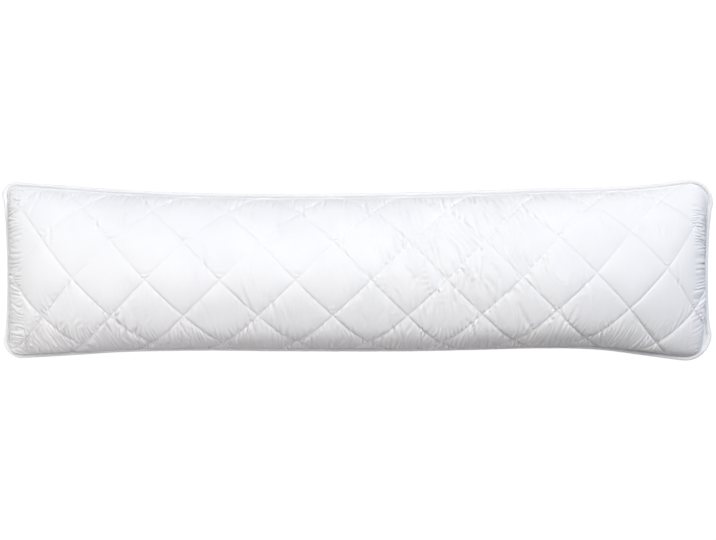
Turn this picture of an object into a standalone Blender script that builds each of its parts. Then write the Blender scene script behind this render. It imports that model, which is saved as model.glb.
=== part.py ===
"""Body pillow lying on its back: a filled, diamond-quilted case with round piping sewn into its seam.

Metres, +Z up. +X runs along the pillow, and the floor is z = 0. The case is one closed, filled body made
of a front and a back panel that meet at the seam. The panels are laid out flat first, in cloth
coordinates (u along the pillow, v across it), and each point is then carried to the stuffed shape, so the
quilting lines, the crown and the seam all follow from the same few sizes.
"""

import math

import bmesh
import bpy
import numpy as np
from mathutils import Vector

# ---- Overall size -------------------------------------------------------------------------------------
LENGTH = 1.460             # over the piping, corner to corner
PIPING_DIAMETER = 0.008
PIPING_GAP = 0.0004        # between the piping and the case's seam edge
SEAM_HEIGHT = 0.105        # of the seam above the floor, at the middle of the pillow
SEAM_DROOP = 0.010         # by which the seam hangs lower at the corners
CROWN_RISE = 0.118         # of the front panel's stitch level above the seam
BELLY_DROP = 0.122         # of the back panel below the seam, before the floor flattens it
FLOOR_BLEND = 0.012        # height over which the back panel rounds into its flat resting patches
FLOOR_CLING = 0.0005       # cloth this near the floor lies flat on it

# ---- Panels as cut and quilted, in cloth coordinates --------------------------------------------------
PANEL_LENGTH = 1.510
PANEL_WIDTH = 0.438
PITCH_U = 0.075            # half a diamond along the pillow
PITCH_V = 0.078            # half a diamond across it
LATTICE_U = 0.0275         # a stitch crossing near the middle of the panel
LATTICE_V = -0.0100
CELLS_PER_PITCH = 4        # mesh cells in half a diamond
END_CELLS = (0.0125, 0.0055, 0.0015)    # distance of the last columns from the end seams

# ---- Stuffed shape ------------------------------------------------------------------------------------
END_TAPER = 0.420          # length over which the crown falls to each end seam
TAPER_POWER = 1.8          # 2 is an ellipse, less is more pointed
END_FULLNESS = 0.75        # power of the taper's height: 1 leaves it, less keeps the ends higher
SECTION_SWEEP = math.radians(80.0)      # half angle of the arc from the crown to the seam
SECTION_HALF_WIDTH = 0.153              # of the usual cross-section, for its arc length
END_BOW = 0.009            # by which the middle of an end seam is drawn in from its corners
BOW_POWER = 8              # keeps that within the last part of the length
QUILT_HEIGHT = 0.0075      # of a diamond's middle above its stitch lines
STITCH_WIDTH = 0.005       # distance from a stitch line over which the cloth rises steeply
EDGE_FADE = 0.012          # distance from the seam over which the quilting rises
SHEAR = 0.028              # lean of the quilting across the panel
DRIFT = 0.022              # shift of the quilting rows at the +X end
DRIFT_START, DRIFT_END = 0.15, 0.72     # where that shift begins and is complete

# Outline over the piping: place along the pillow, reach towards +Y, reach towards -Y.
OUTLINE = (
    (-0.730, 0.187, 0.180),
    (-0.612, 0.179, 0.173),
    (-0.489, 0.170, 0.165),
    (-0.366, 0.164, 0.162),
    (-0.119, 0.161, 0.163),
    (0.100, 0.164, 0.163),
    (0.250, 0.168, 0.160),
    (0.373, 0.172, 0.157),
    (0.496, 0.174, 0.160),
    (0.600, 0.180, 0.173),
    (0.681, 0.190, 0.183),
    (0.730, 0.191, 0.184),
)
# Corner radius of the seam, by end (-1 or +1 in X) and side (-1 or +1 in Y).
CORNER_RADIUS = {(-1, 1): 0.022, (-1, -1): 0.032, (1, 1): 0.042, (1, -1): 0.048}

# ---- Piping -------------------------------------------------------------------------------------------
SIDE_STEP = 0.024          # between the piping's points along the long sides and the ends
CORNER_STEPS = 6           # pieces of each rounded corner
PIPING_BEVEL = 2           # bevel resolution, which gives eight sides

COLLECTION_NAME = "body_pillow"
CLOTH_WHITE = (0.86, 0.87, 0.89, 1.0)
PIPING_WHITE = (0.88, 0.88, 0.89, 1.0)
CLOTH_ROUGHNESS = 0.85

# ---- Worked out from the sizes above ------------------------------------------------------------------
PIPING_OFFSET = PIPING_DIAMETER / 2 + PIPING_GAP
OUTLINE_INSET = PIPING_DIAMETER + PIPING_GAP
SEAM_HALF_LENGTH = LENGTH / 2 - OUTLINE_INSET
PANEL_U = PANEL_LENGTH / 2
PANEL_V = PANEL_WIDTH / 2
STITCH_SPACING = 2 * PITCH_U * PITCH_V / math.hypot(PITCH_U, PITCH_V)
OUTLINE_X, OUTLINE_UP, OUTLINE_DOWN = (np.array(column) for column in zip(*OUTLINE))


# ---- Curves behind the shape --------------------------------------------------------------------------
def smooth_between(x, stations, values):
    """Cubic curve through a table's values, with the slope at each station taken from its neighbours."""
    slopes = np.gradient(values, stations)
    x = np.clip(x, stations[0], stations[-1])
    k = np.clip(np.searchsorted(stations, x) - 1, 0, len(stations) - 2)
    span = stations[k + 1] - stations[k]
    s = (x - stations[k]) / span
    start = values[k] * (1 + 2 * s) * (1 - s) ** 2 + slopes[k] * span * s * (1 - s) ** 2
    end = values[k + 1] * s * s * (3 - 2 * s) - slopes[k + 1] * span * s * s * (1 - s)
    return start + end


def arc_table(across, along):
    """Distance travelled along a curve given by its two coordinates."""
    steps = np.hypot(np.diff(across), np.diff(along))
    return np.concatenate([[0.0], np.cumsum(steps)])


def end_profile():
    """Side view of an end: distance travelled, reach along X and share of the height that is left."""
    turn = np.linspace(0.0, math.pi / 2, 400)
    reach = END_TAPER * np.sin(turn) ** (2 / TAPER_POWER)
    height = np.cos(turn) ** (2 / TAPER_POWER)
    travelled = arc_table(reach, height * CROWN_RISE)
    return travelled / travelled[-1], reach, height


def section_profile():
    """Cross-section from crown to seam: share of the way, share of the half-width, share of the height."""
    turn = np.linspace(0.0, SECTION_SWEEP, 200)
    width = np.sin(turn) / math.sin(SECTION_SWEEP)
    height = (np.cos(turn) - math.cos(SECTION_SWEEP)) / (1 - math.cos(SECTION_SWEEP))
    travelled = arc_table(width * SECTION_HALF_WIDTH, height * CROWN_RISE)
    return travelled / travelled[-1], width, height


END_TRAVEL, END_REACH, END_HEIGHT = end_profile()
SECTION_TRAVEL, SECTION_WIDTH, SECTION_HEIGHT = section_profile()
LEVEL_HALF_LENGTH = SEAM_HALF_LENGTH - END_TAPER      # of the crown, before it falls
TAPER_CLOTH = PANEL_U - LEVEL_HALF_LENGTH             # cloth that lies over each taper


def seam_half_width(seam_x, side):
    """Distance of the seam from the pillow's long axis, on the +Y (1) or -Y (-1) side."""
    reach = OUTLINE_UP if side > 0 else OUTLINE_DOWN
    width = smooth_between(seam_x, OUTLINE_X, reach) - OUTLINE_INSET
    for end in (-1, 1):
        radius = CORNER_RADIUS[end, side]
        into = np.clip(end * seam_x - (SEAM_HALF_LENGTH - radius), 0.0, radius)
        width = width - (radius - np.sqrt(radius ** 2 - into ** 2))
    return width


def seam_height(x):
    return SEAM_HEIGHT - SEAM_DROOP * (x / SEAM_HALF_LENGTH) ** 4


def slipped(u, v):
    """Where quilted cloth has crept to on the panel: it leans, and its rows climb near the +X end."""
    s, t = u / PANEL_U, v / PANEL_V
    inside = 1 - t ** 2
    lean = SHEAR * v * (1 - s ** 4) * inside
    ease = np.clip((u - DRIFT_START) / (DRIFT_END - DRIFT_START), 0.0, 1.0)
    climb = DRIFT * ease * ease * (3 - 2 * ease) * inside
    return u + lean, v + climb


def stuffed_point(u, v, face):
    """The panel's stitch level on the stuffed pillow, for the front (1) or the back (-1)."""
    u, v = slipped(u, v)
    s, t = u / PANEL_U, np.clip(v / PANEL_V, -1.0, 1.0)
    over = np.clip((np.abs(u) - LEVEL_HALF_LENGTH) / TAPER_CLOTH, 0.0, 1.0)
    crown_x = np.minimum(np.abs(u), LEVEL_HALF_LENGTH) + np.interp(over, END_TRAVEL, END_REACH)
    left_over = np.interp(over, END_TRAVEL, END_HEIGHT)
    seam_x = s * SEAM_HALF_LENGTH
    inside = 1 - t ** 2
    bow = END_BOW * np.abs(s) ** BOW_POWER
    x = seam_x + (np.sign(u) * (crown_x - bow) - seam_x) * inside
    width = np.where(t > 0, seam_half_width(seam_x, 1), seam_half_width(seam_x, -1))
    y = np.sign(t) * width * np.interp(np.abs(t), SECTION_TRAVEL, SECTION_WIDTH)
    bulge = left_over ** END_FULLNESS * np.interp(np.abs(t), SECTION_TRAVEL, SECTION_HEIGHT)
    rise = CROWN_RISE if face > 0 else -BELLY_DROP
    return np.stack([x, y, seam_height(x) + rise * bulge], axis=-1)


def lattice(u, v):
    """Quilting coordinates: the stitch lines run where either of the two is a whole number."""
    i, j = (u - LATTICE_U) / PITCH_U, (v - LATTICE_V) / PITCH_V
    return (i + j) / 2, (i - j) / 2


def quilt_lift(u, v):
    """Height of the padding above its stitch level."""
    lift = QUILT_HEIGHT
    for line in lattice(u, v):
        off = np.abs(line - np.round(line))
        steep = 1 - np.exp(-off * STITCH_SPACING / STITCH_WIDTH)
        lift = lift * (0.5 * steep + 0.5 * np.sin(math.pi * off))
    edge = np.minimum(PANEL_U - np.abs(u), PANEL_V - np.abs(v))
    return lift * (1 - np.exp(-edge / EDGE_FADE)) ** 2


def rest_on_floor(z):
    """Flatten what would reach below the floor, with a short rounded edge."""
    rounded = (z + FLOOR_BLEND) ** 2 / (4 * FLOOR_BLEND)
    touching = (z < -FLOOR_BLEND) | (rounded < FLOOR_CLING)
    return np.where(z > FLOOR_BLEND, z, np.where(touching, 0.0, rounded))


def case_point(u, v, face):
    """A point of the filled case: the stuffed shape with the quilting raised along its normal."""
    step = 0.001
    inner_u = np.clip(u, step - PANEL_U, PANEL_U - step)
    inner_v = np.clip(v, step - PANEL_V, PANEL_V - step)
    along = stuffed_point(inner_u + step, inner_v, face) - stuffed_point(inner_u - step, inner_v, face)
    across = stuffed_point(inner_u, inner_v + step, face) - stuffed_point(inner_u, inner_v - step, face)
    normal = np.cross(along, across) * face
    normal /= np.linalg.norm(normal, axis=-1, keepdims=True)
    point = stuffed_point(u, v, face) + normal * quilt_lift(u, v)[..., None]
    point[..., 2] = rest_on_floor(point[..., 2])
    return point


# ---- Case ---------------------------------------------------------------------------------------------
def cell_lines(half, start, pitch, edge_lines):
    """Mesh lines across a panel: on the quilting lattice inside, then the given lines near each edge."""
    step = pitch / CELLS_PER_PITCH
    inner = half - edge_lines[0] if edge_lines else half
    first = math.ceil((-inner - start) / step + 0.4)
    last = math.floor((inner - start) / step - 0.4)
    lines = [start + k * step for k in range(first, last + 1)]
    low = [-half] + [distance - half for distance in reversed(edge_lines)]
    high = [half - distance for distance in edge_lines] + [half]
    return np.array(low + lines + high)


def add_panel(mesh, u_lines, v_lines, face):
    """One quilted panel: a flat grid whose points are carried to the stuffed shape."""
    columns, rows = len(u_lines) - 1, len(v_lines) - 1
    grid = bmesh.ops.create_grid(mesh, x_segments=columns, y_segments=rows, size=1.0)["verts"]
    place = {}
    for vert in grid:
        column = round((vert.co.x + 1) / 2 * columns)
        row = round((vert.co.y + 1) / 2 * rows)
        place[vert] = (u_lines[column], v_lines[row])
    faces = {f for vert in grid for f in vert.link_faces}
    for cell in sorted(faces, key=lambda f: f.index):
        split_along_stitch(cell, place)
    u, v = (np.array(values) for values in zip(*(place[vert] for vert in grid)))
    for vert, point in zip(grid, case_point(u, v, face)):
        vert.co = point
    if face < 0:
        turned = {f for vert in grid for f in vert.link_faces}
        bmesh.ops.reverse_faces(mesh, faces=sorted(turned, key=lambda f: f.index))


def split_along_stitch(cell, place):
    """Divide a cell by the diagonal that runs with its nearest stitch line.

    A cell at a panel's corner is divided through that corner, or a triangle would lie along the seam.
    """
    corners = sorted(cell.verts, key=lambda vert: (place[vert][1], place[vert][0]))
    low_left, low_right, high_left, high_right = corners
    middle = np.mean([place[vert] for vert in corners], axis=0)
    falling, rising = (abs(line - round(line)) for line in lattice(*middle))
    if any(len(vert.link_faces) == 1 for vert in corners):
        falling, rising = (0, 1) if middle[0] * middle[1] < 0 else (1, 0)
    if falling < rising:
        bmesh.utils.face_split(cell, low_right, high_left)
    else:
        bmesh.utils.face_split(cell, low_left, high_right)


def make_case():
    u_lines = cell_lines(PANEL_U, LATTICE_U, PITCH_U, END_CELLS)
    v_lines = cell_lines(PANEL_V, LATTICE_V, PITCH_V, ())
    mesh = bmesh.new()
    for face in (1, -1):
        add_panel(mesh, u_lines, v_lines, face)
        mesh.faces.index_update()
    bmesh.ops.remove_doubles(mesh, verts=mesh.verts, dist=0.00001)
    data = bpy.data.meshes.new("pillow")
    mesh.to_mesh(data)
    mesh.free()
    data.shade_smooth()
    return bpy.data.objects.new("pillow", data)


# ---- Piping -------------------------------------------------------------------------------------------
def seam_point(u, v):
    return stuffed_point(np.asarray(u, float), np.asarray(v, float), 1)


def side_stations(side):
    """Places in u along a long side, close together where the corners turn."""
    left = CORNER_RADIUS[-1, side]
    right = CORNER_RADIUS[1, side]
    scale = PANEL_U / SEAM_HALF_LENGTH
    start, end = left - SEAM_HALF_LENGTH, SEAM_HALF_LENGTH - right
    straight = np.linspace(start, end, round((end - start) / SIDE_STEP) + 1)
    turn = np.linspace(0.0, math.pi / 2, CORNER_STEPS + 1)[1:]
    low = start - left * np.sin(turn[::-1])
    high = end + right * np.sin(turn)
    return np.concatenate([low, straight, high]) * scale


def seam_loop():
    """The seam as one closed line of points, anticlockwise from above."""
    lower, upper = side_stations(-1), side_stations(1)
    end_steps = round(PANEL_WIDTH * 0.75 / SIDE_STEP)
    across = np.linspace(-PANEL_V, PANEL_V, end_steps + 1)[1:-1]
    runs = [
        seam_point(lower, np.full(len(lower), -PANEL_V)),
        seam_point(np.full(len(across), PANEL_U), across),
        seam_point(upper[::-1], np.full(len(upper), PANEL_V)),
        seam_point(np.full(len(across), -PANEL_U), across[::-1]),
    ]
    return np.concatenate(runs)


def make_piping():
    seam = seam_loop()
    ahead = np.roll(seam, -1, axis=0) - np.roll(seam, 1, axis=0)
    outward = np.stack([ahead[:, 1], -ahead[:, 0], np.zeros(len(seam))], axis=-1)
    outward /= np.linalg.norm(outward, axis=-1, keepdims=True)
    curve = bpy.data.curves.new("piping", "CURVE")
    curve.dimensions = "3D"
    curve.bevel_depth = PIPING_DIAMETER / 2
    curve.bevel_resolution = PIPING_BEVEL
    spline = curve.splines.new("POLY")
    spline.points.add(len(seam) - 1)
    for point, place in zip(spline.points, seam + outward * PIPING_OFFSET):
        point.co = (*place, 1.0)
    spline.use_cyclic_u = True
    return bpy.data.objects.new("piping", curve)


# ---- Materials and assembly ---------------------------------------------------------------------------
def cloth_material(name, colour):
    material = bpy.data.materials.new(name)
    material.use_nodes = True
    shader = material.node_tree.nodes["Principled BSDF"]
    shader.inputs["Base Color"].default_value = colour
    shader.inputs["Roughness"].default_value = CLOTH_ROUGHNESS
    shader.inputs["Metallic"].default_value = 0.0
    return material


def centre_on_floor(parts):
    """Put the origin under the middle of the outline, on the floor."""
    bpy.context.view_layer.update()
    corners = [part.matrix_world @ Vector(corner) for part in parts for corner in part.bound_box]
    middle_x = (min(c.x for c in corners) + max(c.x for c in corners)) / 2
    middle_y = (min(c.y for c in corners) + max(c.y for c in corners)) / 2
    for part in parts:
        part.location = (-middle_x, -middle_y, 0.0)


def build():
    for item in list(bpy.data.objects):
        bpy.data.objects.remove(item, do_unlink=True)
    collection = bpy.data.collections.new(COLLECTION_NAME)
    bpy.context.scene.collection.children.link(collection)
    case, piping = make_case(), make_piping()
    case.data.materials.append(cloth_material("quilted_cotton", CLOTH_WHITE))
    piping.data.materials.append(cloth_material("piping_cotton", PIPING_WHITE))
    for part in (case, piping):
        collection.objects.link(part)
    centre_on_floor([case, piping])


build()
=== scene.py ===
# %% [markdown]
# # A quilted body pillow
#
# The pillow is a long bag of two cotton panels, each quilted in large diamonds, sewn together round
# the edge with a piping cord in the seam, and stuffed hard. It lies on its back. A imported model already
# holds its true size. This lesson dresses it with fine panels that puff and gather, quilting thread,
# piping, cotton finishes, a studio and a camera.

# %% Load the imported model
import itertools
import math

import bmesh
import bpy
import numpy as np
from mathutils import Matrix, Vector


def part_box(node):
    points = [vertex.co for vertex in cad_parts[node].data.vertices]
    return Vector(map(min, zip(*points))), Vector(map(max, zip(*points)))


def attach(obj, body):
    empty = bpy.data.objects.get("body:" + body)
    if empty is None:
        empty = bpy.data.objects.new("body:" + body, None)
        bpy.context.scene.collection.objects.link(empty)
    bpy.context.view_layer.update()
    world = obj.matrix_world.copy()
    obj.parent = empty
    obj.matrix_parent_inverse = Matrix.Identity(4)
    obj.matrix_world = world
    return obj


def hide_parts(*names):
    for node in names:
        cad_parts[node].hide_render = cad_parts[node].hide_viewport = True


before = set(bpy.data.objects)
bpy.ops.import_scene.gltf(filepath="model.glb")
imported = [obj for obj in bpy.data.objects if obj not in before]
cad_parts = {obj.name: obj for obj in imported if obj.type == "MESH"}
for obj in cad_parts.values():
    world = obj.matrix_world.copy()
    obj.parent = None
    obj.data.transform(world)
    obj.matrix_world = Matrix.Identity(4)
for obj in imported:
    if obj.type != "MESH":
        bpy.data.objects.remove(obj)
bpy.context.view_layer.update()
BODY = "root"

# %% [markdown]
# ## Sizes
#
# Everything is in metres, with +X along the pillow, +Y across it and +Z up out of its front. The
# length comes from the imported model. The rest says how the panels were cut and quilted flat, and what
# shape they take when stuffed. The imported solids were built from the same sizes, so the fine cloth
# lands on them without fitting.

# %% Sizes of the stuffed pillow
piping_low, piping_high = (np.array(corner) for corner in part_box("piping"))
LENGTH = float(piping_high[0] - piping_low[0])
PIPING_DIAMETER = 0.008
PIPING_GAP = 0.0004
SEAM_HEIGHT = 0.105
SEAM_DROOP = 0.010
CROWN_RISE = 0.118
BELLY_DROP = 0.122
FLOOR_BLEND = 0.012
END_TAPER = 0.420
TAPER_POWER = 1.8
END_FULLNESS = 0.75
SECTION_SWEEP = math.radians(80.0)
SECTION_HALF_WIDTH = 0.153
END_BOW = 0.009
BOW_POWER = 8
OUTLINE_X = np.array([-.730, -.612, -.489, -.366, -.119, .100, .250, .373, .496, .600, .681, .730])
OUTLINE_UP = np.array([.187, .179, .170, .164, .161, .164, .168, .172, .174, .180, .190, .191])
OUTLINE_DOWN = np.array([.180, .173, .165, .162, .163, .163, .160, .157, .160, .173, .183, .184])
CORNER_RADIUS = {(-1, 1): 0.022, (-1, -1): 0.032, (1, 1): 0.042, (1, -1): 0.048}
print(f"the pillow is {LENGTH:.3f} m long over its piping")

# %% Sizes of the flat, quilted panels
PANEL_U, PANEL_V = 1.510 / 2, 0.438 / 2  # half the panel's length and width
PITCH_U, PITCH_V = 0.075, 0.078  # half a diamond, along and across
LATTICE_U, LATTICE_V = 0.0275, -0.0100  # one crossing near the middle
SHEAR = 0.028
DRIFT = 0.022
DRIFT_START, DRIFT_END = 0.15, 0.72
STITCH_SPACING = 2 * PITCH_U * PITCH_V / math.hypot(PITCH_U, PITCH_V)
SEAM_HALF_LENGTH = LENGTH / 2 - PIPING_DIAMETER - PIPING_GAP
LEVEL_HALF_LENGTH = SEAM_HALF_LENGTH - END_TAPER
FRONT, BACK = 1, -1
print(f"stitch lines run {STITCH_SPACING * 1000:.0f} mm apart both ways")

# %% [markdown]
# ## From flat cloth to stuffed pillow
#
# A quilted panel is easiest to think about flat: `u` runs along the cloth and `v` across it. One
# function carries a flat point to its place on the stuffed pillow. The crown falls to each end along a
# blunt arc and to each long seam along a nearly round section. Both are measured by the cloth that lies
# over them, so the diamonds bunch up towards the seams as on the real thing.


# %% Curves behind the shape
def smooth_between(x, stations, values):
    """A cubic curve through a short table."""
    slopes = np.gradient(values, stations)
    x = np.clip(x, stations[0], stations[-1])
    k = np.clip(np.searchsorted(stations, x) - 1, 0, len(stations) - 2)
    span = stations[k + 1] - stations[k]
    s = (x - stations[k]) / span
    start = values[k] * (1 + 2 * s) * (1 - s) ** 2 + slopes[k] * span * s * (1 - s) ** 2
    end = values[k + 1] * s * s * (3 - 2 * s) - slopes[k + 1] * span * s * s * (1 - s)
    return start + end


def ease(x, start, end):
    """From 0 at start to 1 at end, level at both."""
    t = np.clip((x - start) / (end - start), 0.0, 1.0)
    return t * t * (3 - 2 * t)


def travelled_share(across, along):
    """How far along a curve each of its points is, as a share of the whole."""
    steps = np.hypot(np.diff(across), np.diff(along))
    travelled = np.concatenate([[0.0], np.cumsum(steps)])
    return travelled / travelled[-1]


turn = np.linspace(0.0, math.pi / 2, 400)
END_REACH = END_TAPER * np.sin(turn) ** (2 / TAPER_POWER)
END_HEIGHT = np.cos(turn) ** (2 / TAPER_POWER)
END_TRAVEL = travelled_share(END_REACH, END_HEIGHT * CROWN_RISE)
turn = np.linspace(0.0, SECTION_SWEEP, 200)
SECTION_WIDTH = np.sin(turn) / math.sin(SECTION_SWEEP)
SECTION_HEIGHT = (np.cos(turn) - math.cos(SECTION_SWEEP)) / (1 - math.cos(SECTION_SWEEP))
SECTION_TRAVEL = travelled_share(SECTION_WIDTH * SECTION_HALF_WIDTH, SECTION_HEIGHT * CROWN_RISE)


# %% The stuffed shape
def seam_half_width(seam_x, side):
    reach = OUTLINE_UP if side > 0 else OUTLINE_DOWN
    width = smooth_between(seam_x, OUTLINE_X, reach) - PIPING_DIAMETER - PIPING_GAP
    for end in (-1, 1):
        radius = CORNER_RADIUS[end, side]
        into = np.clip(end * seam_x - (SEAM_HALF_LENGTH - radius), 0.0, radius)
        width = width - (radius - np.sqrt(radius ** 2 - into ** 2))
    return width


def seam_height(x):
    return SEAM_HEIGHT - SEAM_DROOP * (x / SEAM_HALF_LENGTH) ** 4


def slipped(u, v):
    """Where the quilting has crept to: it leans, and its rows climb near the +X end."""
    s, t = u / PANEL_U, v / PANEL_V
    inside = 1 - t ** 2
    lean = SHEAR * v * (1 - s ** 4) * inside
    return u + lean, v + DRIFT * ease(u, DRIFT_START, DRIFT_END) * inside


def stuffed_point(u, v, face):
    """Where a flat point lies on the stuffed pillow, before any puff."""
    u, v = slipped(u, v)
    s, t = u / PANEL_U, np.clip(v / PANEL_V, -1.0, 1.0)
    over = np.clip((np.abs(u) - LEVEL_HALF_LENGTH) / (PANEL_U - LEVEL_HALF_LENGTH), 0.0, 1.0)
    crown_x = np.minimum(np.abs(u), LEVEL_HALF_LENGTH) + np.interp(over, END_TRAVEL, END_REACH)
    left_over = np.interp(over, END_TRAVEL, END_HEIGHT)
    seam_x = s * SEAM_HALF_LENGTH
    inside = 1 - t ** 2
    bow = END_BOW * np.abs(s) ** BOW_POWER
    x = seam_x + (np.sign(u) * (crown_x - bow) - seam_x) * inside
    width = np.where(t > 0, seam_half_width(seam_x, 1), seam_half_width(seam_x, -1))
    y = np.sign(t) * width * np.interp(np.abs(t), SECTION_TRAVEL, SECTION_WIDTH)
    bulge = left_over ** END_FULLNESS * np.interp(np.abs(t), SECTION_TRAVEL, SECTION_HEIGHT)
    rise = CROWN_RISE if face == FRONT else -BELLY_DROP
    return np.stack([x, y, seam_height(x) + rise * bulge], axis=-1)


def unit(vectors):
    return vectors / np.maximum(np.linalg.norm(vectors, axis=-1, keepdims=True), 1e-12)


def stuffed_normal(u, v, face):
    """The direction out of the cloth, from its neighbours a millimetre away."""
    step = 0.001
    u = np.clip(u, step - PANEL_U, PANEL_U - step)
    v = np.clip(v, step - PANEL_V, PANEL_V - step)
    along = stuffed_point(u + step, v, face) - stuffed_point(u - step, v, face)
    across = stuffed_point(u, v + step, face) - stuffed_point(u, v - step, face)
    return unit(np.cross(along, across) * face)


crown = stuffed_point(np.zeros(1), np.zeros(1), FRONT)[0, 2]
print(f"the crown's stitch level is {crown:.3f} m up")

# %% [markdown]
# ## Where the pillow stands
#
# The formula above is centred on the panels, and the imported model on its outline, a few millimetres
# away. The seam gives the difference: the piping's box is the seam's box, grown by the piping all round.

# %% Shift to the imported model's place
loop_u = np.linspace(-PANEL_U, PANEL_U, 2000)
seam = np.concatenate([stuffed_point(loop_u, np.full(loop_u.size, v), FRONT) for v in (-PANEL_V, PANEL_V)])
SHIFT = (piping_low + piping_high) / 2 - (seam.min(axis=0) + seam.max(axis=0)) / 2
SHIFT[2] = 0.0
print("shift, mm:", np.round(SHIFT * 1000, 2))


# %% [markdown]
# ## The quilting lattice
#
# Both families of stitch lines run diagonally. In these two coordinates a line lies wherever a value
# is whole, so the distance to the nearest stitch is one subtraction away.

# %% Lattice coordinates
def lattice(u, v):
    i, j = (u - LATTICE_U) / PITCH_U, (v - LATTICE_V) / PITCH_V
    return (i + j) / 2, (i - j) / 2


def stitch_distances(u, v):
    """Distance to the nearest line of each family, on the flat cloth."""
    return [np.abs(line - np.round(line)) * STITCH_SPACING for line in lattice(u, v)]


def nearest_stitch(u, v):
    return np.minimum(*stitch_distances(u, v))


def crossings(across, up):
    """Flat places where two rows cross, out to so many half diamonds each way."""
    for i, j in itertools.product(range(-across, across + 1), range(-up, up + 1)):
        if (i + j) % 2 == 0:
            yield LATTICE_U + i * PITCH_U, LATTICE_V + j * PITCH_V


def edge_distance(u, v):
    return np.minimum(PANEL_U - np.abs(u), PANEL_V - np.abs(v))


def off_edge(u, v, reach):
    """From 0 at the panel's edge to nearly 1 a few reaches in."""
    return 1 - np.exp(-edge_distance(u, v) / reach)


# %% [markdown]
# ## Puffing the quilting with simulated cloth
#
# Quilting looks soft because each diamond is held down only along its stitches and swells in between.
# That is a job for Blender's cloth. Both panels are laid over the stuffed shape as a fairly coarse mesh,
# every stitch line and the seam are pinned, and pressure from inside blows the cloth out. The cloth
# remembers its flat size through a rest shape, with a little slack, so it also crumples where the
# stuffed shape is narrower than the cut panel. Only the movement of each point is kept, as a field over
# the flat panel that any finer mesh can read.

# %% From a bmesh to an object
def mesh_data(name, mesh):
    """Mesh data made from a bmesh, which is freed."""
    data = bpy.data.meshes.new(name)
    mesh.to_mesh(data)
    mesh.free()
    return data


def shape(mesh, layer, flat, places):
    """Move a mesh's vertices to their places, and keep the flat ones as a UV map."""
    uv = mesh.loops.layers.uv.new(layer)
    mesh.verts.index_update()
    for face in mesh.faces:
        for loop in face.loops:
            loop[uv].uv = flat[loop.vert.index]
    for vert, place in zip(mesh.verts, places):
        vert.co = place


def add_object(name, data):
    thing = bpy.data.objects.new(name, data)
    bpy.context.scene.collection.objects.link(thing)
    return thing


# %% Coarse panels for the simulation
SIM_CELLS = 12  # cells in half a diamond
SLACK = 1.012  # of the cloth against its cut size
REST_HEIGHT = 0.1  # of the flat panels, one up and one down
PUFF_FRAMES = 6
PUFF_PRESSURE = 240.0
MOST_PUFF = 0.0038  # cap on how far a point may move
LEAST_CELL = 0.4  # smallest cell at a panel's edge, as a share of a whole one


def panel_lines(cells):
    """Mesh lines over a panel both ways, on the lattice, with one along each edge."""
    for half, start, pitch in ((PANEL_U, LATTICE_U, PITCH_U), (PANEL_V, LATTICE_V, PITCH_V)):
        step = pitch / cells
        first = math.ceil((-half - start) / step + LEAST_CELL)
        last = math.floor((half - start) / step - LEAST_CELL)
        yield np.array([-half] + [start + k * step for k in range(first, last + 1)] + [half])


def flat_grid(mesh, u_lines, v_lines):
    """New vertices of a flat grid on the given lines, and the numbers of their lines."""
    columns, rows = len(u_lines) - 1, len(v_lines) - 1
    verts = bmesh.ops.create_grid(mesh, x_segments=columns, y_segments=rows, size=1.0)["verts"]
    places = []
    for vert in verts:
        column, row = round((vert.co.x + 1) / 2 * columns), round((vert.co.y + 1) / 2 * rows)
        vert.co = (u_lines[column], v_lines[row], 0.0)
        places.append((column, row))
    return verts, np.array(places)


# %% Blow the panels up
COTTON = {
    "quality": 4, "mass": 0.01, "air_damping": 1.0, "vertex_group_mass": "stitched",
    "tension_stiffness": 15.0, "compression_stiffness": 15.0, "shear_stiffness": 5.0,
    "tension_damping": 1.0, "compression_damping": 1.0, "shear_damping": 1.0,
    "bending_stiffness": 0.005, "bending_damping": 0.1,
    "use_pressure": True, "uniform_pressure_force": PUFF_PRESSURE,
}


def cloth_settings(cloth, rest_shape):
    for name, value in COTTON.items():
        setattr(cloth.settings, name, value)
    cloth.settings.rest_shape_key = rest_shape
    cloth.settings.effector_weights.gravity = 0.0
    cloth.collision_settings.use_collision = False
    cloth.point_cache.frame_end = PUFF_FRAMES


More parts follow.
